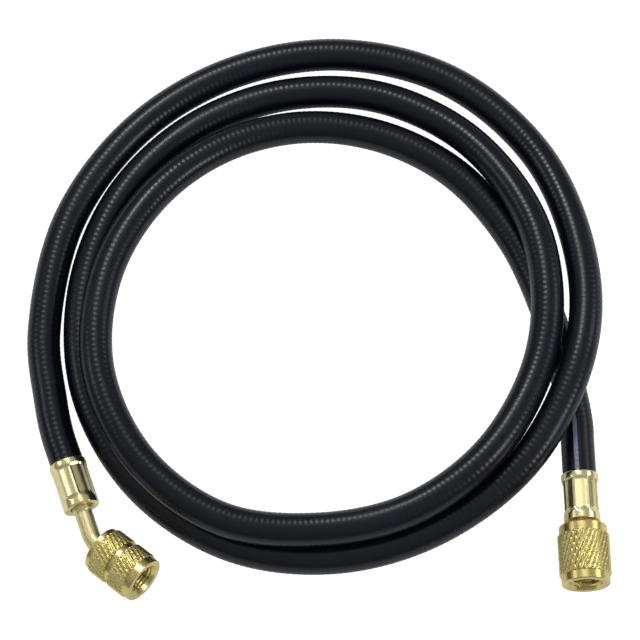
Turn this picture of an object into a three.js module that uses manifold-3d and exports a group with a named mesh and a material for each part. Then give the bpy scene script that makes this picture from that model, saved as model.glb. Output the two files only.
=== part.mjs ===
// Refrigerant charging hose, 1.5 m long: a black rubber hose lying in a loose coil of about
// two and a third turns, with a crimped brass ferrule at each end. One end has a bent brass
// stem and a banded nut, the other a straight stem and a nut knurled in one long band. Both
// nuts swivel on their stems.
// Millimetres, +Z up. The origin is on the floor, in the middle of the coil's outline.

import * as THREE from 'three';
import { mergeVertices } from 'three/addons/utils/BufferGeometryUtils.js';
import Module from 'manifold-3d';

const wasm = await Module();
wasm.setup();

// Clearance between pieces that touch on the real hose
const fitGap = 0.3;

// Hose
const hoseDiameter = 12.0;
const hoseSides = 12;
const hoseSteps = 80;
const crimpedDiameter = 10.0;
const hoseEndRoom = 1.0;

// Ferrule: a brass sleeve with a lip, eight crimped flats and a collar
const ferruleLength = 17.7;
const lipDiameter = 13.2;
const lipLength = 2.7;
const collarDiameter = 12.9;
const collarLength = 3.4;
const crimpFlats = 8;
const crimpAcrossFlats = 11.6;
const crimpAcrossCorners = 12.3;
const ferruleEndWall = 2.0;
const edgeBreak = 0.5;

// Stem: a brass tube held in the hose, with a ring at the ferrule and a flange in the nut
const stemTailStart = 1.0;
const stemDiameter = 6.35;
const stemBore = 4.6;
const stemRingDiameter = 7.4;
const flangeDiameter = 9.1;
const flangeLength = 2.0;
const stemNoseDiameter = 6.9;
const stemNoseLength = 1.0;

// Nuts for the 1/4 in flare port, thread 7/16-20 UNF
const nutBackWall = 3.0;
const threadMinorDiameter = 9.7;
const mouthDiameter = 12.5;

// Sealing ring in the nut, on the nose of the stem
const sealDiameter = 9.0;
const sealLength = 1.8;

// Core depressor of the angled end
const depressorPinDiameter = 1.6;
const depressorPinLength = 3.2;
const depressorBarLength = 3.0;
const depressorBarThickness = 1.0;
const depressorCornerRoom = 0.1;
const depressorPinSides = 16;

// Straight end
const straightMouth = [93.45, -62.5, 7.86];
const straightHeading = -88.85;
const straightRise = 3.5;
const straightCrimpTurn = 0.0;
const straightRingVisible = 0.0;
const straightStemVisible = 1.7;
const straightBackBand = { diameter: 16.9, length: 3.2 };
const straightKnurl = { diameter: 18.3, length: 14.8 };
const straightFrontBand = { diameter: 17.0, length: 3.1 };

// Angled end: its stem bends by bendAngle just before the nut, and bendRoll lifts the nut
const angledMouth = [-88.15, -57.79, 6.85];
const angledHeading = -70.7;
const angledRise = 2.2;
const angledCrimpTurn = -15.5;
const angledRingVisible = 1.4;
const angledStemStraight = 10.05;
const bendRadius = 11.0;
const bendAngle = 32.1;
const bendRoll = 14.0;
const angledStemAfterBend = 0.4;
const angledBackBand = { diameter: 16.4, length: 1.9 };
const angledKnurl = { diameter: 17.9, length: 7.0 };
const angledGroove = { diameter: 16.2, length: 1.8 };
const angledFrontBand = { diameter: 16.8, length: 2.7 };

// Route of the hose, from the angled end to the straight end. Each row is a place on the
// floor and how many hose diameters the hose is lifted there by the turns under it.
const route = [
  [-94.9, -33.8, 0.02], [-98.1, -8.6, 0.01], [-90.2, 35.9, 0.0], [-66.2, 72.0, 0.0],
  [-31.4, 95.0, 0.0], [9.2, 102.5, 0.01], [50.1, 91.4, 0.05], [82.0, 60.0, 0.26],
  [96.3, 15.2, 0.74], [93.6, -21.5, 1.09], [75.0, -57.9, 0.76], [44.6, -81.2, 0.25],
  [8.5, -91.8, 0.04], [-29.2, -87.6, 0.01], [-61.7, -66.2, 0.0], [-81.7, -31.5, 0.0],
  [-84.2, 8.5, 0.0], [-71.4, 45.0, 0.0], [-45.9, 71.8, 0.0], [-13.2, 85.6, 0.01],
  [22.2, 85.1, 0.07], [54.7, 67.5, 0.33], [76.9, 34.7, 0.84], [83.0, 3.5, 1.08],
  [78.7, -26.4, 1.10], [60.7, -58.0, 1.17], [33.3, -77.8, 0.97], [0.9, -84.7, 0.86],
  [-33.0, -81.0, 0.95], [-61.7, -59.5, 0.96], [-77.4, -25.7, 0.91], [-75.3, 11.4, 0.79],
  [-58.9, 42.4, 0.62], [-33.9, 63.3, 0.34], [-5.1, 72.2, 0.12], [24.2, 69.0, 0.02],
  [51.2, 54.2, 0.01], [72.2, 28.2, 0.0], [84.9, -3.3, 0.01], [90.4, -26.2, 0.02],
];

// How far behind the ferrules the hose still runs straight
const firstRun = 12.0;
const secondRun = 20.0;

const brass = { color: 0xd8cc90, roughness: 0.3, metalness: 1.0 };
const nutBrass = { color: 0xd0b050, roughness: 0.32, metalness: 1.0 };
const rubber = { color: 0x1a1c20, roughness: 0.55, metalness: 0.0 };
const nylon = { color: 0xe8e6dc, roughness: 0.5, metalness: 0.0 };

const turnedSides = 40;
const bendSteps = 8;
const tubeOverlap = 0.2;
const squeezeOverlap = 2.0;
const cutterRoom = 1.0;
const axisX = new THREE.Vector3(1, 0, 0);

// Joining and cutting

function solidOf(geometry) {
  const bare = geometry.clone();
  bare.deleteAttribute('normal');
  bare.deleteAttribute('uv');
  const merged = mergeVertices(bare, 1e-4);
  return new wasm.Manifold(new wasm.Mesh({
    numProp: 3,
    vertProperties: new Float32Array(merged.attributes.position.array),
    triVerts: new Uint32Array(merged.index.array),
  }));
}

function geometryOf(solid) {
  const mesh = solid.getMesh();
  const geometry = new THREE.BufferGeometry();
  geometry.setAttribute('position', new THREE.BufferAttribute(mesh.vertProperties, 3));
  geometry.setIndex(new THREE.BufferAttribute(mesh.triVerts, 1));
  geometry.computeVertexNormals();
  return geometry;
}

function joined(geometries) {
  return geometryOf(geometries.map(solidOf).reduce((whole, piece) => whole.add(piece)));
}

// A turned piece along +X, from a closed outline of [place along the axis, diameter] rows
function turned(outline) {
  const points = outline.map(([along, diameter]) => new THREE.Vector2(diameter / 2, along));
  points.push(points[0].clone());
  const geometry = new THREE.LatheGeometry(points, turnedSides);
  geometry.rotateZ(-Math.PI / 2);
  return geometry;
}

// A round section swept along a curve, with a bore where one is given
function swept(curve, diameter, sides, steps, bore = 0) {
  const outline = new THREE.Shape();
  const corners = Array.from({ length: sides }, (_, i) => {
    const angle = (2 * Math.PI * i) / sides;
    return new THREE.Vector2(Math.cos(angle), Math.sin(angle));
  });
  outline.setFromPoints(corners.map((corner) => corner.clone().multiplyScalar(diameter / 2)));
  if (bore > 0) {
    const hole = corners.map((corner) => corner.clone().multiplyScalar(bore / 2)).reverse();
    outline.holes.push(new THREE.Path().setFromPoints(hole));
  }
  return new THREE.ExtrudeGeometry(outline, { extrudePath: curve, steps, bevelEnabled: false });
}

// A group whose +X axis points along a heading in plan and rises by an angle
function placedGroup(place, heading, rise) {
  const group = new THREE.Group();
  group.rotation.order = 'ZYX';
  group.rotation.set(0, -THREE.MathUtils.degToRad(rise), THREE.MathUtils.degToRad(heading));
  group.position.set(...place);
  group.updateMatrixWorld(true);
  return group;
}

function addMesh(parent, name, geometry, finish) {
  const mesh = new THREE.Mesh(geometry, new THREE.MeshStandardMaterial(finish));
  mesh.name = name;
  parent.add(mesh);
  return mesh;
}

// Pieces of the fittings. Along the fitting's axis, 0 is the mouth of the ferrule.

function makeFerrule(crimpTurn) {
  const bore = crimpedDiameter + 2 * fitGap;
  const hole = stemRingDiameter + 2 * fitGap;
  const wallStart = ferruleLength - ferruleEndWall;
  const body = turned([
    [0, bore],
    [0, lipDiameter - 2 * edgeBreak],
    [edgeBreak, lipDiameter],
    [lipLength - edgeBreak, lipDiameter],
    [lipLength, crimpAcrossCorners],
    [ferruleLength - collarLength, crimpAcrossCorners],
    [ferruleLength - collarLength + edgeBreak, collarDiameter],
    [ferruleLength - edgeBreak, collarDiameter],
    [ferruleLength, collarDiameter - 2 * edgeBreak],
    [ferruleLength, hole],
    [wallStart, hole],
    [wallStart, bore],
  ]);
  let ferrule = solidOf(body);
  const flatLength = ferruleLength - collarLength - lipLength;
  const cutDepth = (crimpAcrossCorners - crimpAcrossFlats) / 2 + cutterRoom;
  for (let i = 0; i < crimpFlats; i += 1) {
    const cutter = new THREE.BoxGeometry(flatLength, crimpAcrossCorners, cutDepth);
    cutter.translate(lipLength + flatLength / 2, 0, crimpAcrossFlats / 2 + cutDepth / 2);
    cutter.rotateX((2 * Math.PI * i) / crimpFlats + THREE.MathUtils.degToRad(crimpTurn));
    ferrule = ferrule.subtract(solidOf(cutter));
  }
  return geometryOf(ferrule);
}

// Stem inside the hose and the ferrule, and its plain tube as far as plainTubeEnd
function stemTail(ringVisible, plainTubeEnd) {
  const stemRingEnd = ferruleLength + ringVisible;
  return turned([
    [stemTailStart, stemBore],
    [stemTailStart, stemDiameter],
    [ferruleLength - ferruleEndWall + fitGap, stemDiameter],
    [ferruleLength - ferruleEndWall + fitGap, stemRingDiameter],
    [stemRingEnd - fitGap, stemRingDiameter],
    [stemRingEnd, stemDiameter],
    [plainTubeEnd, stemDiameter],
    [plainTubeEnd, stemBore],
  ]);
}

// Stem inside the nut, measured from the nut's back face, which it enters at -lead
function stemHead(lead) {
  const flangeStart = nutBackWall + fitGap;
  const flangeEnd = flangeStart + flangeLength;
  return turned([
    [-lead, stemBore],
    [-lead, stemDiameter],
    [flangeStart, stemDiameter],
    [flangeStart, flangeDiameter],
    [flangeEnd, flangeDiameter],
    [flangeEnd, stemNoseDiameter],
    [flangeEnd + stemNoseLength, stemNoseDiameter],
    [flangeEnd + stemNoseLength, stemBore],
  ]);
}

function makeSeal() {
  const start = nutBackWall + fitGap + flangeLength + fitGap;
  const hole = stemNoseDiameter + 2 * fitGap;
  return turned([
    [start, hole],
    [start, sealDiameter],
    [start + sealLength, sealDiameter],
    [start + sealLength, hole],
  ]);
}

// The outside of a nut is a row of bands from its back to its front
function makeNut(bands) {
  const hole = stemDiameter + 2 * fitGap;
  const mouthDepth = (mouthDiameter - threadMinorDiameter) / 2;
  const bevel = edgeBreak / 2;
  const outside = [];
  let nutLength = 0;
  bands.forEach(({ diameter, length }) => {
    outside.push([nutLength, diameter], [nutLength + length, diameter]);
    nutLength += length;
  });
  const [, backDiameter] = outside.shift();
  const [, frontDiameter] = outside.pop();
  return turned([
    [0, hole],
    [0, backDiameter - edgeBreak],
    [bevel, backDiameter],
    ...outside,
    [nutLength - bevel, frontDiameter],
    [nutLength, frontDiameter - edgeBreak],
    [nutLength, mouthDiameter],
    [nutLength - mouthDepth, threadMinorDiameter],
    [nutBackWall, threadMinorDiameter],
    [nutBackWall, hole],
  ]);
}

// A pin on a cross bar that lies in the end of the stem's bore
function makeDepressor() {
  const barEnd = nutBackWall + fitGap + flangeLength + stemNoseLength;
  const bar = new THREE.BoxGeometry(
    depressorBarLength,
    stemBore - 2 * fitGap - depressorCornerRoom,
    depressorBarThickness,
  );
  bar.translate(barEnd - depressorBarLength / 2, 0, 0);
  const pin = new THREE.CylinderGeometry(
    depressorPinDiameter / 2,
    depressorPinDiameter / 2,
    depressorPinLength + depressorBarLength / 2,
    depressorPinSides,
  );
  pin.rotateZ(-Math.PI / 2);
  pin.translate(barEnd + (depressorPinLength - depressorBarLength / 2) / 2, 0, 0);
  return joined([bar, pin]);
}

const hoseAssembly = new THREE.Group();

// Straight end
const straightEnd = placedGroup(straightMouth, straightHeading, straightRise);
const straightNutPlace = ferruleLength + straightStemVisible;
const straightNut = new THREE.Group();
straightNut.position.x = straightNutPlace;
straightEnd.add(straightNut);
hoseAssembly.add(straightEnd);

const straightTail = stemTail(straightRingVisible, straightNutPlace + tubeOverlap);
const straightHead = stemHead(0);
straightHead.translate(straightNutPlace, 0, 0);
addMesh(straightEnd, 'ferrule_straight', makeFerrule(straightCrimpTurn), brass);
addMesh(straightEnd, 'stem_straight', joined([straightTail, straightHead]), brass);
addMesh(straightNut, 'seal_straight', makeSeal(), nylon);
addMesh(
  straightNut,
  'nut_straight',
  makeNut([straightBackBand, straightKnurl, straightFrontBand]),
  nutBrass,
);

// Angled end: the bend is in the plane of the rolled group
const angledEnd = placedGroup(angledMouth, angledHeading, angledRise);
const rolled = new THREE.Group();
rolled.rotation.x = THREE.MathUtils.degToRad(bendRoll);
angledEnd.add(rolled);
hoseAssembly.add(angledEnd);

const bend = THREE.MathUtils.degToRad(bendAngle);
const bendStart = ferruleLength + angledStemStraight;
const bendEndX = bendStart + bendRadius * Math.sin(bend);
const bendEndY = bendRadius * (1 - Math.cos(bend));
const angledNut = new THREE.Group();
angledNut.position.set(
  bendEndX + angledStemAfterBend * Math.cos(bend),
  bendEndY + angledStemAfterBend * Math.sin(bend),
  0,
);
angledNut.rotation.z = bend;
rolled.add(angledNut);
angledNut.updateMatrix();

class StemBend extends THREE.Curve {
  getPoint(t) {
    const angle = t * bend;
    return new THREE.Vector3(
      bendStart + bendRadius * Math.sin(angle),
      bendRadius * (1 - Math.cos(angle)),
      0,
    );
  }
}

const angledTail = stemTail(angledRingVisible, bendStart + tubeOverlap);
const bentTube = swept(new StemBend(), stemDiameter, turnedSides, bendSteps, stemBore);
const angledHead = stemHead(angledStemAfterBend + tubeOverlap);
angledHead.applyMatrix4(angledNut.matrix);
addMesh(angledEnd, 'ferrule_angled', makeFerrule(angledCrimpTurn), brass);
addMesh(rolled, 'stem_angled', joined([angledTail, bentTube, angledHead]), brass);
addMesh(angledNut, 'seal_angled', makeSeal(), nylon);
addMesh(angledNut, 'depressor_angled', makeDepressor(), brass);
addMesh(
  angledNut,
  'nut_angled',
  makeNut([angledBackBand, angledKnurl, angledGroove, angledKnurl, angledFrontBand]),
  nutBrass,
);

// Hose: the free length, with its two ends squeezed thin inside the ferrules

function pointOnAxis(group, along) {
  return axisX.clone().multiplyScalar(along).applyMatrix4(group.matrixWorld);
}

hoseAssembly.updateMatrixWorld(true);
const laid = route.map(([x, y, lift]) => {
  const height = hoseDiameter / 2 + hoseDiameter * lift;
  return new THREE.Vector3(x, y, height);
});
const hosePoints = [
  pointOnAxis(angledEnd, -fitGap),
  pointOnAxis(angledEnd, -firstRun),
  ...laid,
  pointOnAxis(straightEnd, -secondRun),
  pointOnAxis(straightEnd, -firstRun),
  pointOnAxis(straightEnd, -fitGap),
];
const hoseCurve = new THREE.CatmullRomCurve3(hosePoints, false, 'centripetal');
hoseCurve.arcLengthDivisions = 2000;

function squeezedEnd(group) {
  const crimpedLength = ferruleLength - ferruleEndWall - hoseEndRoom;
  const end = turned([
    [-squeezeOverlap, stemDiameter + 2 * fitGap],
    [-squeezeOverlap, crimpedDiameter],
    [crimpedLength, crimpedDiameter],
    [crimpedLength, stemDiameter + 2 * fitGap],
  ]);
  end.applyMatrix4(group.matrixWorld);
  return end;
}

addMesh(
  hoseAssembly,
  'hose',
  joined([
    swept(hoseCurve, hoseDiameter, hoseSides, hoseSteps),
    squeezedEnd(angledEnd),
    squeezedEnd(straightEnd),
  ]),
  rubber,
);

export default hoseAssembly;
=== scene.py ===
# A refrigerant charging hose: a black rubber hose in a loose coil, with a crimped brass
# ferrule, a brass stem and a knurled swivel nut at each end, on a pale studio floor.
import math

import bpy
import numpy as np
from mathutils import Matrix, Vector


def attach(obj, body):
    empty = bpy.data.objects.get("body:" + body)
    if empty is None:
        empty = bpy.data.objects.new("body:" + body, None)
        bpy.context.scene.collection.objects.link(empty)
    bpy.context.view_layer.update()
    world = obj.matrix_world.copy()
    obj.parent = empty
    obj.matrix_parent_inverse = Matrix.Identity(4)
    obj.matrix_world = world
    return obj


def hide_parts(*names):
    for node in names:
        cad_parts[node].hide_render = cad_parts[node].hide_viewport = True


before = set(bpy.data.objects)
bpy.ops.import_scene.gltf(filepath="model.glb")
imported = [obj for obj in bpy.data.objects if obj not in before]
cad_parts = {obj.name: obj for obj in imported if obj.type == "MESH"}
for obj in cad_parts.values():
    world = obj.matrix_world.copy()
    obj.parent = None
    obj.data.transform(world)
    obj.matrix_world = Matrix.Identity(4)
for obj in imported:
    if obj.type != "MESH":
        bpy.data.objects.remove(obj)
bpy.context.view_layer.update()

# Camera
# A long lens about a metre away, looking down steeply enough to show the whole coil and
# still into the mouths of both nuts.
camera_distance = 1.0
camera_elevation = math.radians(70)
camera_target = Vector((0.0016, -0.0011, 0.0))
image_width_pixels = 640
lens_in_pixels = 2745
sensor_width = 36
camera_data = bpy.data.cameras.new("studio_camera")
camera_data.sensor_width = sensor_width
camera_data.lens = sensor_width * lens_in_pixels / image_width_pixels
camera = bpy.data.objects.new("studio_camera", camera_data)
away = Vector((0, -math.cos(camera_elevation), math.sin(camera_elevation)))
camera.location = camera_target + camera_distance * away
camera.rotation_euler = away.to_track_quat("Z", "Y").to_euler()
bpy.context.collection.objects.link(camera)
bpy.context.scene.camera = camera

# Hose
# The rubber hose itself, 12 mm outside and 1.5 m long. It is extruded in one length, and
# the cloth-wrapped cure leaves fine ribs around it, 1.95 mm apart. It lies in a coil of
# about two and a third turns, and its two ends go straight into the ferrules.
hose_diameter = 0.012
rib_pitch = 0.00195
rib_depth = 0.00007
rings_per_rib = 4
hose_sides = 28
hose_in_ferrule = 0.006
squeezed_radius = 0.0050
squeeze_starts_in, squeeze_ramp = 0.001, 0.003
straight_run, long_straight_run, mouth_clearance = 0.012, 0.020, 0.0003
steps_between_points = 40

# Each row is a place on the floor, in metres, and how many diameters the hose is lifted
# there by the turns under it.
route = [
    (-0.0949, -0.0338, 0.02), (-0.0981, -0.0086, 0.01), (-0.0902, 0.0359, 0.0),
    (-0.0662, 0.0720, 0.0), (-0.0314, 0.0950, 0.0), (0.0092, 0.1025, 0.01),
    (0.0501, 0.0914, 0.05), (0.0820, 0.0600, 0.26), (0.0963, 0.0152, 0.74),
    (0.0936, -0.0215, 1.09), (0.0750, -0.0579, 0.76), (0.0446, -0.0812, 0.25),
    (0.0085, -0.0918, 0.04), (-0.0292, -0.0876, 0.01), (-0.0617, -0.0662, 0.0),
    (-0.0817, -0.0315, 0.0), (-0.0842, 0.0085, 0.0), (-0.0714, 0.0450, 0.0),
    (-0.0459, 0.0718, 0.0), (-0.0132, 0.0856, 0.01), (0.0222, 0.0851, 0.07),
    (0.0547, 0.0675, 0.33), (0.0769, 0.0347, 0.84), (0.0830, 0.0035, 1.08),
    (0.0787, -0.0264, 1.10), (0.0607, -0.0580, 1.17), (0.0333, -0.0778, 0.97),
    (0.0009, -0.0847, 0.86), (-0.0330, -0.0810, 0.95), (-0.0617, -0.0595, 0.96),
    (-0.0774, -0.0257, 0.91), (-0.0753, 0.0114, 0.79), (-0.0589, 0.0424, 0.62),
    (-0.0339, 0.0633, 0.34), (-0.0051, 0.0722, 0.12), (0.0242, 0.0690, 0.02),
    (0.0512, 0.0542, 0.01), (0.0722, 0.0282, 0.0), (0.0849, -0.0033, 0.01),
    (0.0904, -0.0262, 0.02),
]


def end_pose(mouth, heading, rise):
    """The place of a ferrule's mouth, with +X out along the fitting."""
    turn = Matrix.Rotation(math.radians(heading), 4, "Z")
    tilt = Matrix.Rotation(-math.radians(rise), 4, "Y")
    return Matrix.Translation(mouth) @ turn @ tilt


straight_end = end_pose((0.09345, -0.0625, 0.00786), heading=-88.85, rise=3.5)
angled_end = end_pose((-0.08815, -0.05779, 0.00685), heading=-70.7, rise=2.2)


def smooth_route(points, steps):
    """A centripetal Catmull-Rom curve through the points."""
    points = np.array(points)
    ends = [2 * points[0] - points[1], 2 * points[-1] - points[-2]]
    points = np.vstack([ends[0], points, ends[1]])
    places = []
    for a, b, c, d in zip(points, points[1:], points[2:], points[3:]):
        gap_a, gap_b, gap_c = (np.linalg.norm(q - p) ** 0.5 for p, q in ((a, b), (b, c), (c, d)))
        start = ((b - a) / gap_a - (c - a) / (gap_a + gap_b) + (c - b) / gap_b) * gap_b
        stop = ((c - b) / gap_b - (d - b) / (gap_b + gap_c) + (d - c) / gap_c) * gap_b
        for t in np.arange(steps) / steps:
            bend = (3 * (c - b) - 2 * start - stop) * t ** 2
            twist = (2 * (b - c) + start + stop) * t ** 3
            places.append(b + start * t + bend + twist)
    places.append(points[-2])
    return np.array(places)


def rings_along(centres, upward, sideways, radii, sides):
    """Rings of points around a line; each radius is a number or one for each side."""
    angles = np.arange(sides) * 2 * math.pi / sides
    radii = np.array([np.broadcast_to(radius, sides) for radius in radii])
    rings = np.cos(angles)[None, :, None] * upward[:, None]
    rings = rings + np.sin(angles)[None, :, None] * sideways[:, None]
    return centres[:, None] + radii[:, :, None] * rings


def skin(name, rings, joined_ends=False):
    """A mesh over rings of points. Joined ends make a hollow piece; other ends are capped."""
    count, sides = rings.shape[:2]
    row, side = np.meshgrid(
        np.arange(count if joined_ends else count - 1), np.arange(sides), indexing="ij"
    )
    next_row = (row + 1) % count
    next_side = (side + 1) % sides
    corners = [row * sides + side, row * sides + next_side]
    corners += [next_row * sides + next_side, next_row * sides + side]
    faces = np.stack(corners, axis=-1).reshape(-1, 4).tolist()
    if not joined_ends:
        faces.append(list(range(sides))[::-1])
        faces.append(list(range((count - 1) * sides, count * sides)))
    mesh = bpy.data.meshes.new(name)
    mesh.from_pydata(rings.reshape(-1, 3).tolist(), [], faces)
    mesh.shade_smooth()
    mesh.set_sharp_from_angle(angle=math.radians(38))
    piece = bpy.data.objects.new(name, mesh)
    bpy.context.collection.objects.link(piece)
    return piece


def on_axis(pose, along):
    """A point on the axis of an end, this far out from the ferrule's mouth."""
    return np.array(pose @ Vector((along, 0, 0)))


def hose_centre_line():
    """Evenly spaced points along the middle of the hose, and how far along each one is."""
    laid = [(x, y, hose_diameter * (0.5 + lift)) for x, y, lift in route]
    angled_places = (hose_in_ferrule, -mouth_clearance, -straight_run)
    straight_places = (-long_straight_run, -straight_run, -mouth_clearance, hose_in_ferrule)
    before = [on_axis(angled_end, along) for along in angled_places]
    after = [on_axis(straight_end, along) for along in straight_places]
    dense = smooth_route([*before, *laid, *after], steps_between_points)
    travelled = np.concatenate([[0], np.cumsum(np.linalg.norm(np.diff(dense, axis=0), axis=1))])
    ring_count = round(travelled[-1] / rib_pitch * rings_per_rib)
    places = np.linspace(0, travelled[-1], ring_count + 1)
    line = np.stack([np.interp(places, travelled, dense[:, axis]) for axis in range(3)], axis=1)
    return line, places


hose_line, hose_places = hose_centre_line()
hose_length = hose_places[-1]
forward = np.gradient(hose_line, axis=0)
forward /= np.linalg.norm(forward, axis=1)[:, None]
hose_side = np.cross(forward, (0, 0, 1))
hose_side /= np.linalg.norm(hose_side, axis=1)[:, None]
hose_up = np.cross(hose_side, forward)

rib_wave = 0.5 - 0.5 * np.cos(2 * math.pi * hose_places / rib_pitch)
depth_in_ferrule = hose_in_ferrule - np.minimum(hose_places, hose_length - hose_places)
squeeze = np.clip((depth_in_ferrule - squeeze_starts_in) / squeeze_ramp, 0, 1)
hose_radii = (hose_diameter / 2 - rib_depth * rib_wave) * (1 - squeeze) + squeezed_radius * squeeze
hose = skin("rubber_hose", rings_along(hose_line, hose_up, hose_side, hose_radii, hose_sides))

hose_uv = hose.data.uv_layers.new(name="around_and_along")
uv_rows = np.zeros((len(hose.data.loops), 2))
steps_along, steps_around = np.meshgrid(
    np.arange(len(hose_places) - 1), np.arange(hose_sides), indexing="ij"
)
corner_u = np.stack([steps_around, steps_around + 1, steps_around + 1, steps_around], axis=-1)
corner_v = np.stack([steps_along, steps_along, steps_along + 1, steps_along + 1], axis=-1)
uv_rows[: corner_u.size, 0] = corner_u.reshape(-1) / hose_sides
uv_rows[: corner_v.size, 1] = hose_places[corner_v.reshape(-1)]
hose_uv.data.foreach_set("uv", uv_rows.reshape(-1))


# Extruded EPDM rubber: nearly black with a little blue in it. The cured skin is satin, so
# softboxes show as long soft streaks that the ribs cut into dots. A pale blue-grey stripe of
# painted reflection is mixed into its colour along it; it shows beside the straight ferrule
# and then turns to the underside.
def colour(code):
    """An sRGB hex colour as linear red, green, blue and alpha."""
    parts = [int(code[i:i + 2], 16) / 255 for i in (1, 3, 5)]
    linear = [((c + 0.055) / 1.055) ** 2.4 if c > 0.04045 else c / 12.92 for c in parts]
    return (*linear, 1.0)


def new_material(name):
    """A material with nodes, ready for its surface."""
    material = bpy.data.materials.new(name)
    material.use_nodes = True
    return material


def add_node(tree, kind, settings, inputs):
    """Adds a node with its settings; an input is a value, or another node's output."""
    made = tree.nodes.new(kind)
    for name, value in settings.items():
        setattr(made, name, value)
    for name, value in inputs.items():
        if isinstance(value, bpy.types.NodeSocket):
            tree.links.new(value, made.inputs[name])
        else:
            made.inputs[name].default_value = value
    return made


def surface(material, inputs):
    """Sets or links inputs of the material's own surface shader."""
    shader = material.node_tree.nodes["Principled BSDF"]
    for name, value in inputs.items():
        if isinstance(value, bpy.types.NodeSocket):
            material.node_tree.links.new(value, shader.inputs[name])
        else:
            shader.inputs[name].default_value = value


rubber = new_material("extruded_epdm_rubber")
tree = rubber.node_tree
rubber_grain = 0.0006
cloudiness = 0.03
# Painted reflection: the width of the pale blue-grey stripe and where it sits around the hose.
painted_reflection_width = 0.0015 / (math.pi * hose_diameter)
painted_reflection_top, painted_reflection_under = 0.035, 0.5
turns_under_from, turns_under_to = hose_length - 0.036, hose_length - 0.062
place = add_node(tree, "ShaderNodeTexCoord", {}, {})
uv = add_node(tree, "ShaderNodeSeparateXYZ", {}, {0: place.outputs["UV"]})
painted_reflection_centre = add_node(
    tree, "ShaderNodeMapRange", {"interpolation_type": "SMOOTHSTEP"},
    {0: uv.outputs[1], 1: turns_under_to, 2: turns_under_from, 3: painted_reflection_under, 4: painted_reflection_top},
)
off_centre = add_node(
    tree, "ShaderNodeMath", {"operation": "SUBTRACT"}, {0: uv.outputs[0], 1: painted_reflection_centre.outputs[0]}
)
off_centre = add_node(
    tree, "ShaderNodeMath", {"operation": "ABSOLUTE"}, {0: off_centre.outputs[0]}
)
painted_reflection_mask = add_node(
    tree, "ShaderNodeMapRange", {"interpolation_type": "SMOOTHSTEP"},
    {0: off_centre.outputs[0], 1: painted_reflection_width * 0.42, 2: painted_reflection_width * 0.58, 3: 1.0, 4: 0.0},
)
clouds = add_node(
    tree, "ShaderNodeTexNoise", {},
    {"Vector": place.outputs["Object"], "Scale": 1 / cloudiness, "Detail": 4.0},
)
grain = add_node(
    tree, "ShaderNodeTexNoise", {},
    {"Vector": place.outputs["Object"], "Scale": 1 / rubber_grain, "Detail": 3.0},
)
black = add_node(
    tree, "ShaderNodeMix", {"data_type": "RGBA"},
    {0: clouds.outputs[0], 6: colour("#06080F"), 7: colour("#0D101C")},
)
# Painted reflection: the pale blue-grey stripe is mixed over the black base colour here.
with_painted_reflection = add_node(
    tree, "ShaderNodeMix", {"data_type": "RGBA"},
    {0: painted_reflection_mask.outputs[0], 6: black.outputs[2], 7: colour("#6E7E8C")},
)
satin = add_node(
    tree, "ShaderNodeMapRange", {}, {0: clouds.outputs[0], 1: 0.3, 2: 0.7, 3: 0.25, 4: 0.34}
)
pores = add_node(
    tree, "ShaderNodeBump", {}, {"Strength": 0.25, "Distance": 0.00005, "Height": grain.outputs[0]}
)
surface(rubber, {
    "Base Color": with_painted_reflection.outputs[2], "Roughness": satin.outputs[0], "Normal": pores.outputs[0],
    "IOR": 1.36,
})
hose.data.materials.append(rubber)
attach(hose, "hose")
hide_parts("hose")

# Ferrules
# A drawn brass sleeve pushed over the hose's end and squeezed by eight dies. The dies
# leave eight flats with a thin ridge between them, a rolled lip at the mouth and a collar
# at the far end, whose face is folded in around the stem.
ferrule_length = 0.0177
lip_radius, lip_length = 0.0066, 0.0027
collar_radius, collar_start = 0.00645, 0.0136
flat_depth_radius = 0.0058
die_count = 8
die_ramp_at_lip = math.tan(math.radians(34))
die_ramp_at_collar = math.tan(math.radians(15))
ridge_height, ridge_half_width = 0.00012, 0.00035
flat_crown = 0.00012
ferrule_wall, end_wall = 0.0006, 0.0016
hair, lip_edge, collar_edge, hole_edge = 0.0001, 0.0006, 0.00035, 0.0003
body_start_before_lip_end, body_stops_short, body_rows = 0.0007, 0.0005, 64
inner_step = 0.0036
stem_hole_radius = 0.0040
ferrule_sides = die_count * 20
gold_patch, handled_spot = 0.004, 0.0012


def crimped_radius(along):
    """Radius at each side: the sleeve, or the die's flat with its sloping ends."""
    angles = np.arange(ferrule_sides) * 2 * math.pi / ferrule_sides
    step = 2 * math.pi / die_count
    from_middle = (angles + step / 2) % step - step / 2
    past_start = max(0.0, lip_length + 0.0004 - along)
    past_end = max(0.0, along - collar_start + 0.0002)
    depth = flat_depth_radius + past_start * die_ramp_at_lip + past_end * die_ramp_at_collar
    flat = depth / np.cos(from_middle) + flat_crown * np.cos(from_middle * die_count / 2) ** 2
    from_ridge = (step / 2 - np.abs(from_middle)) * flat_depth_radius
    flat = flat + ridge_height * np.exp(-(from_ridge / ridge_half_width) ** 2)
    sleeve = lip_radius if along < ferrule_length / 2 else collar_radius
    return np.minimum(flat, sleeve)


def rounded_edge(start, end, sharpness=5):
    """Quarter-round corner points from start to end, as (along, radius)."""
    turns = np.linspace(0, math.pi / 2, sharpness)
    return [
        (start[0] + (end[0] - start[0]) * (1 - math.cos(t)), start[1] + (end[1] - start[1]) * math.sin(t))
        for t in turns
    ]


def turned(name, outline, sides, pose):
    """A piece turned about its own X axis, from a closed outline of (along, radius)."""
    places = np.array([along for along, radius in outline])
    centres = np.stack([places, 0 * places, 0 * places], axis=1)
    upward = np.tile((0.0, 1.0, 0.0), (len(outline), 1))
    sideways = np.tile((0.0, 0.0, 1.0), (len(outline), 1))
    rings = rings_along(centres, upward, sideways, [radius for along, radius in outline], sides)
    matrix = np.array(pose)
    rings = rings @ matrix[:3, :3].T + matrix[:3, 3]
    return skin(name, rings, joined_ends=True)


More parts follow.
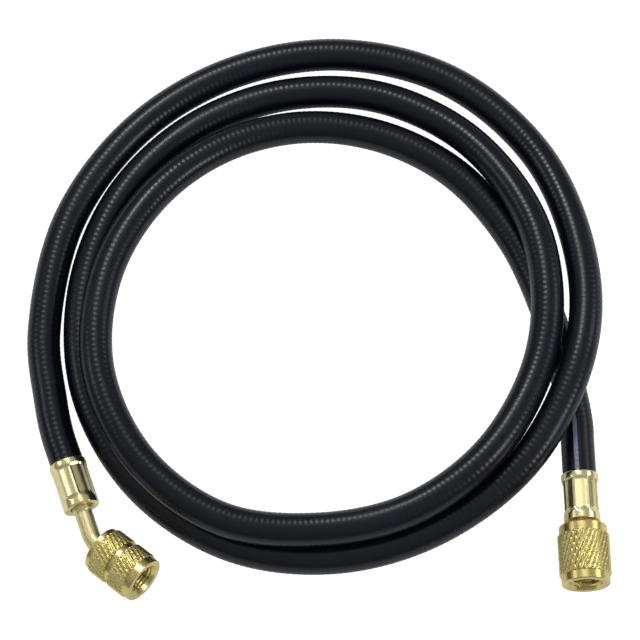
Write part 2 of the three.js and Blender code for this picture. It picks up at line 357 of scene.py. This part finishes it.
def make_ferrule(name, pose):
    """The whole sleeve: lip, crimped body, folded-in end face, and back through the inside."""
    mouth_radius = hose_diameter / 2 + hair
    outline = [(lip_edge, mouth_radius), (0.0, mouth_radius + hair)]
    outline += rounded_edge((0.0, lip_radius - lip_edge * 0.7), (lip_edge, lip_radius))
    outline += [(lip_length - body_start_before_lip_end - hair, lip_radius)]
    body_start = lip_length - body_start_before_lip_end
    body = np.linspace(body_start, ferrule_length - body_stops_short, body_rows)
    outline += [(along, crimped_radius(along)) for along in body]
    outline += [(ferrule_length - collar_edge, collar_radius)]
    outline += [(ferrule_length - hair, collar_radius - hair)]
    outline += [(ferrule_length, collar_radius - collar_edge)]
    outline += [(ferrule_length, stem_hole_radius + hole_edge)]
    outline += [(ferrule_length - hole_edge, stem_hole_radius)]
    outline += [(ferrule_length - end_wall, stem_hole_radius)]
    outline += [(ferrule_length - end_wall, flat_depth_radius - ferrule_wall)]
    outline += [(inner_step, flat_depth_radius - ferrule_wall)]
    outline += [(inner_step - 0.001, mouth_radius)]
    return turned(name, outline, ferrule_sides, pose)


# Brass as it leaves the workshop: patches of slightly different gold, handled spots that
# are duller, and fine tool lines.
def make_brass(name, light, deep, roughness, line_spacing, line_depth, stretch):
    """A brass between two golds, with its tool lines drawn out by stretch."""
    material = new_material(name)
    nodes = material.node_tree
    where = add_node(nodes, "ShaderNodeTexCoord", {}, {})
    tint = add_node(
        nodes, "ShaderNodeTexNoise", {},
        {"Vector": where.outputs["Object"], "Scale": 1 / gold_patch, "Detail": 5.0, "Roughness": 0.6},
    )
    handled = add_node(
        nodes, "ShaderNodeTexNoise", {},
        {"Vector": where.outputs["Object"], "Scale": 1 / handled_spot, "Detail": 4.0},
    )
    aligned = add_node(
        nodes, "ShaderNodeMapping", {},
        {"Vector": where.outputs["Object"], "Scale": stretch},
    )
    lines = add_node(
        nodes, "ShaderNodeTexNoise", {},
        {"Vector": aligned.outputs[0], "Scale": 1 / line_spacing, "Detail": 3.0},
    )
    metal = add_node(
        nodes, "ShaderNodeMix", {"data_type": "RGBA"},
        {0: tint.outputs[0], 6: colour(light), 7: colour(deep)},
    )
    gloss = add_node(
        nodes, "ShaderNodeMapRange", {},
        {0: handled.outputs[0], 1: 0.3, 2: 0.7, 3: roughness * 0.8, 4: roughness * 1.25},
    )
    scratched = add_node(
        nodes, "ShaderNodeBump", {},
        {"Strength": 0.2, "Distance": line_depth, "Height": lines.outputs[0]},
    )
    surface(material, {
        "Base Color": metal.outputs[2], "Metallic": 1.0, "Roughness": gloss.outputs[0],
        "Normal": scratched.outputs[0],
    })
    return material


# Drawn and crimped brass, bright-dipped: pale straw gold with soft drawing lines along it.
crimped_brass = make_brass(
    "bright_dipped_brass", "#F2E6B2", "#E0D194", roughness=0.22,
    line_spacing=0.0006, line_depth=0.000004, stretch=(1.0, 0.25, 1.0),
)
for end_name, pose, crimp_turn in (("straight", straight_end, 5.0), ("angled", angled_end, -27.0)):
    pose = pose @ Matrix.Rotation(math.radians(crimp_turn), 4, "X")
    ferrule = make_ferrule(f"crimped_ferrule_{end_name}", pose)
    ferrule.data.materials.append(crimped_brass)
    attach(ferrule, "hose")
    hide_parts(f"ferrule_{end_name}")

# Stems
# Turned brass tubes, 6.35 mm outside. Each is held in the hose by its ferrule, has a ring
# where it leaves the ferrule, and ends in a flange that keeps the nut on. The angled one
# is bent cold by 32 degrees just before its nut.
stem_radius, stem_bore_radius = 0.003175, 0.0023
stem_ring_radius = 0.0037
stem_ring_start = 0.0160
stem_start = 0.001
flange_from_nut_back, flange_to = 0.0033, 0.0053
flange_radius, nose_radius, nose_to = 0.00455, 0.00345, 0.0063
straight_nut_place = 0.0194
bend_start, bend_radius = 0.02775, 0.011
bend_angle, bend_roll = math.radians(32.1), math.radians(14)
after_bend = 0.0004
ring_edge, fillet = 0.00025, 0.0005
stem_sides, rows_over_bend = 64, 40


def stem_profile(nut_place, ring_visible):
    """Outside of a stem as (distance along its centre line, radius)."""
    soft = ring_edge
    stem_ring_end = ferrule_length + ring_visible
    profile = [(stem_start, stem_radius), (stem_ring_start, stem_radius)]
    profile += [(stem_ring_start, stem_ring_radius - soft), (stem_ring_start + soft, stem_ring_radius)]
    profile += [(stem_ring_end - soft, stem_ring_radius), (stem_ring_end, stem_ring_radius - soft)]
    profile += [(stem_ring_end + hair, stem_radius + 2 * hair), (stem_ring_end + fillet, stem_radius)]
    between = np.linspace(stem_ring_end + 2 * fillet, nut_place + 2 * fillet, rows_over_bend)
    profile += [(place_along, stem_radius) for place_along in between]
    profile += [(nut_place + flange_from_nut_back, stem_radius)]
    profile += [(nut_place + flange_from_nut_back, flange_radius), (nut_place + flange_to, flange_radius)]
    profile += [(nut_place + flange_to, nose_radius), (nut_place + nose_to, nose_radius)]
    return profile


def stem_frame(along, bent):
    """Place, upward and sideways directions of the stem's centre line."""
    turn = 0.0
    if bent and along > bend_start:
        turn = min((along - bend_start) / bend_radius, bend_angle)
    lead = min(along, bend_start) if bent else along
    beyond = along - lead - bend_radius * turn
    spot = np.array([lead + bend_radius * math.sin(turn), bend_radius * (1 - math.cos(turn)), 0.0])
    ahead = np.array([math.cos(turn), math.sin(turn), 0.0])
    return spot + beyond * ahead, np.array([-math.sin(turn), math.cos(turn), 0.0])


def make_stem(name, pose, nut_place, ring_visible, bent):
    """A stem from its profile, straight or bent, with the bore through it."""
    profile = stem_profile(nut_place, ring_visible)
    inner_places = sorted({along for along, radius in profile}, reverse=True)
    inner = [(along, stem_bore_radius) for along in inner_places]
    rows = profile + inner
    frames = [stem_frame(along, bent) for along, radius in rows]
    centres = np.array([spot for spot, upward in frames])
    upward = np.array([direction for spot, direction in frames])
    sideways = np.tile((0.0, 0.0, 1.0), (len(rows), 1))
    rings = rings_along(centres, upward, sideways, [radius for along, radius in rows], stem_sides)
    matrix = np.array(pose)
    return skin(name, rings @ matrix[:3, :3].T + matrix[:3, 3], joined_ends=True)


# Turned brass tube, tumbled and bent: satin, with fine marks in no direction.
turned_brass = make_brass(
    "turned_brass_tube", "#EEE2B0", "#D8CA90", roughness=0.42,
    line_spacing=0.0004, line_depth=0.00001, stretch=(1.0, 1.0, 1.0),
)
angled_plane = angled_end @ Matrix.Rotation(bend_roll, 4, "X")
straight_stem = make_stem("straight_stem", straight_end, straight_nut_place, 0.0, bent=False)
bent_nut_place = bend_start + bend_radius * bend_angle + after_bend
bent_stem = make_stem("bent_stem", angled_plane, bent_nut_place, 0.0014, bent=True)
for stem, node_name in ((straight_stem, "stem_straight"), (bent_stem, "stem_angled")):
    stem.data.materials.append(turned_brass)
    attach(stem, "hose")
    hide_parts(node_name)

# Nuts
# Free-turning brass nuts for the 1/4 in flare port, turned from bar with a rolled diamond
# knurl and a 7/16-20 UNF thread cut inside. The straight end's has one long knurl between
# plain bands, the angled end's has two with a plain groove between them.
nut_back_wall = 0.003
nut_hole_radius = 0.003475
thread_pitch = 0.00127
thread_minor_radius, thread_major_radius = 0.00485, 0.00555
thread_start = 0.0045
nut_mouth_radius = 0.00625
nut_edge = 0.00025
thread_start_clearance, mouth_margin = 0.0002, 0.00002
rows_per_thread = 6
thread_flank, thread_root = 1.25, 0.15
knurl_runout = 1.6
knurl_lines, knurl_axial_pitch = 30, 0.00405
knurl_depth, second_groove, second_depth = 0.00046, 0.22, 0.4
knurl_samples = 17
nut_sides = knurl_lines * knurl_samples
nut_angles = np.arange(nut_sides) * 2 * math.pi / nut_sides


def knurl_rows(start, end, radius):
    """Rows over a diamond knurl: wide grooves one way round and narrow ones the other way."""
    rows = []
    for along in np.arange(start, end + 1e-9, knurl_axial_pitch / knurl_samples):
        around = nut_angles * knurl_lines / (2 * math.pi)
        travel = (along - start) / knurl_axial_pitch
        from_wide, from_narrow = (np.abs(p - np.round(p)) for p in (around - travel, around + travel))
        wide = 1 - np.sin(math.pi * from_wide)
        narrow = second_depth * np.clip(1 - from_narrow / second_groove, 0, 1)
        from_end = min(along - start, end - along)
        crest = radius - max(0.0, knurl_depth - from_end * knurl_runout)
        rows.append((along, np.minimum(radius - knurl_depth * np.maximum(wide, narrow), crest)))
    return rows


def thread_rows(nut_length):
    """Rows over the inside thread, from the chamfered mouth back to the relief behind it."""
    rows = []
    thread_depth = thread_major_radius - thread_minor_radius
    for along in np.arange(nut_length - mouth_margin, thread_start, -thread_pitch / rows_per_thread):
        phase = along / thread_pitch - nut_angles / (2 * math.pi)
        crest = 1 - 2 * np.abs(phase - np.round(phase))
        groove = np.clip(crest * thread_flank - thread_root, 0, 1)
        chamfer = nut_mouth_radius - (nut_length - along)
        rows.append((along, np.maximum(thread_minor_radius + thread_depth * groove, chamfer)))
    return rows


def make_nut(name, pose, bands):
    """bands are (kind, length, radius) from the back to the front."""
    first, last = bands[0][2], bands[-1][2]
    nut_length = sum(length for kind, length, radius in bands)
    outline = [(0.0, nut_hole_radius), (0.0, first - nut_edge)]
    along = 0.0
    for number, (kind, length, radius) in enumerate(bands):
        end = along + length
        if kind == "knurl":
            outline += knurl_rows(along, end, radius)
        else:
            begin = along + (nut_edge if number == 0 else 0.0)
            finish = end - (nut_edge if number == len(bands) - 1 else 0.0)
            outline += [(begin, radius), ((begin + finish) / 2, radius), (finish, radius)]
        along = end
    outline += [(nut_length, last - nut_edge), (nut_length, nut_mouth_radius)]
    outline += thread_rows(nut_length)
    outline += [(thread_start - thread_start_clearance, thread_minor_radius)]
    outline += [(nut_back_wall, thread_minor_radius)]
    outline += [(nut_back_wall, nut_hole_radius)]
    return turned(name, outline, nut_sides, pose)


# Free-cutting brass with rolled grooves: deeper gold, bright on the rolled crests.
knurled_brass = make_brass(
    "knurled_free_cutting_brass", "#E6D48E", "#C8B46A", roughness=0.27,
    line_spacing=0.0003, line_depth=0.000003, stretch=(1.0, 1.0, 1.0),
)
straight_nut_pose = straight_end @ Matrix.Translation((straight_nut_place, 0, 0))
bend_spot = stem_frame(bent_nut_place, True)[0]
angled_nut_pose = (
    angled_plane @ Matrix.Translation(bend_spot) @ Matrix.Rotation(bend_angle, 4, "Z")
)
straight_bands = [("plain", 0.0032, 0.00845), ("knurl", 0.0148, 0.00915), ("plain", 0.0031, 0.0085)]
angled_bands = [
    ("plain", 0.0019, 0.0082), ("knurl", 0.0070, 0.00895), ("plain", 0.0018, 0.0081),
    ("knurl", 0.0070, 0.00895), ("plain", 0.0027, 0.0084),
]
straight_nut = make_nut("knurled_nut_straight", straight_nut_pose, straight_bands)
angled_nut = make_nut("banded_nut_angled", angled_nut_pose, angled_bands)
for nut, node_name in ((straight_nut, "nut_straight"), (angled_nut, "nut_angled")):
    nut.data.materials.append(knurled_brass)
    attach(nut, node_name)
    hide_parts(node_name)

# Sealing rings and core depressor
# A white nylon ring lies on the nose of each stem, where the flare presses on it. The
# angled end also has the small brass pin that opens the port's valve core.
nylon = new_material("moulded_nylon")
nylon_where = add_node(nylon.node_tree, "ShaderNodeTexCoord", {}, {})
nylon_mottle = add_node(
    nylon.node_tree, "ShaderNodeTexNoise", {},
    {"Vector": nylon_where.outputs["Object"], "Scale": 1 / 0.001, "Detail": 3.0},
)
nylon_tint = add_node(
    nylon.node_tree, "ShaderNodeMix", {"data_type": "RGBA"},
    {0: nylon_mottle.outputs[0], 6: colour("#F2F0E8"), 7: colour("#DAD6C8")},
)
nylon_skin = add_node(
    nylon.node_tree, "ShaderNodeBump", {},
    {"Strength": 0.2, "Distance": 0.00003, "Height": nylon_mottle.outputs[0]},
)
surface(nylon, {
    "Base Color": nylon_tint.outputs[2], "Roughness": 0.45, "Normal": nylon_skin.outputs[0],
    "Subsurface Weight": 0.2, "Subsurface Scale": 0.001,
})
for node_name, finish in (
    ("seal_straight", nylon), ("seal_angled", nylon), ("depressor_angled", turned_brass),
):
    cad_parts[node_name].material_slots[0].material = finish

# Studio
# A small bright lamp behind the coil and above it, soft boxes at the sides and a dim tent
# around. The floor is pale; the camera sees it as a plain white backdrop.
floor_half = 1.5
floor_corners = [(-floor_half, -floor_half), (floor_half, -floor_half)]
floor_corners += [(floor_half, floor_half), (-floor_half, floor_half)]


def make_floor(name, height):
    """A flat square of floor at this height."""
    mesh = bpy.data.meshes.new(name)
    mesh.from_pydata([(x, y, height) for x, y in floor_corners], [], [(0, 1, 2, 3)])
    made = bpy.data.objects.new(name, mesh)
    bpy.context.collection.objects.link(made)
    return made


paper = new_material("matt_white_paper")
surface(paper, {
    "Base Color": colour("#E8E8E8"), "Roughness": 0.9, "Emission Color": colour("#FFFFFF"),
    "Emission Strength": 0.2,
})
floor = make_floor("studio_floor", 0.0)
floor.data.materials.append(paper)
floor.visible_camera = False
glow = new_material("white_backdrop")
surface(glow, {
    "Base Color": colour("#000000"), "Emission Color": colour("#FFFFFF"),
    "Emission Strength": 1.1,
})
backdrop_height = -0.0005
backdrop = make_floor("studio_backdrop", backdrop_height)
backdrop.data.materials.append(glow)
backdrop.visible_diffuse = False
backdrop.visible_glossy = False
backdrop.visible_shadow = False

world = bpy.data.worlds.new("light_tent")
world.use_nodes = True
bpy.context.scene.world = world
sky = world.node_tree
sky_place = add_node(sky, "ShaderNodeTexCoord", {}, {})
sky_height = add_node(sky, "ShaderNodeSeparateXYZ", {}, {0: sky_place.outputs["Generated"]})
sky_light = add_node(sky, "ShaderNodeValToRGB", {}, {0: sky_height.outputs[2]})
for position, grey in ((0.0, 0.16), (0.12, 0.12), (0.3, 0.5), (0.8, 0.6), (1.0, 0.55)):
    stops = sky_light.color_ramp.elements
    stop = stops[0] if position == 0.0 else stops[1] if position == 1.0 else stops.new(position)
    stop.position = position
    stop.color = (grey * 0.94, grey * 0.98, grey * 1.06, 1)
background = sky.nodes["Background"]
sky.links.new(sky_light.outputs[0], background.inputs["Color"])


def softbox(name, direction, distance, size, brightness):
    """A lamp that faces the coil, as bright as brightness times white paper."""
    lamp = bpy.data.lights.new(name, "AREA")
    lamp.shape = "RECTANGLE"
    lamp.size, lamp.size_y = size
    lamp.energy = brightness * math.pi * size[0] * size[1]
    light = bpy.data.objects.new(name, lamp)
    toward = Vector(direction).normalized()
    light.location = toward * distance
    light.rotation_euler = toward.to_track_quat("Z", "Y").to_euler()
    bpy.context.collection.objects.link(light)


softbox("lamp_behind", (-0.2, 0.58, 0.79), 1.3, (0.26, 0.24), 23)
softbox("softbox_right", (0.82, 0.3, 0.48), 1.1, (0.36, 0.36), 2.5)
softbox("lamp_right_front", (0.8, -0.35, 0.55), 1.1, (0.26, 0.24), 12)
softbox("softbox_left", (-0.78, 0.15, 0.56), 1.1, (0.28, 0.3), 2.8)
softbox("softbox_above", (0.0, 0.34, 0.94), 1.5, (0.5, 0.5), 0.8)

scene = bpy.context.scene
scene.view_settings.view_transform = "Standard"
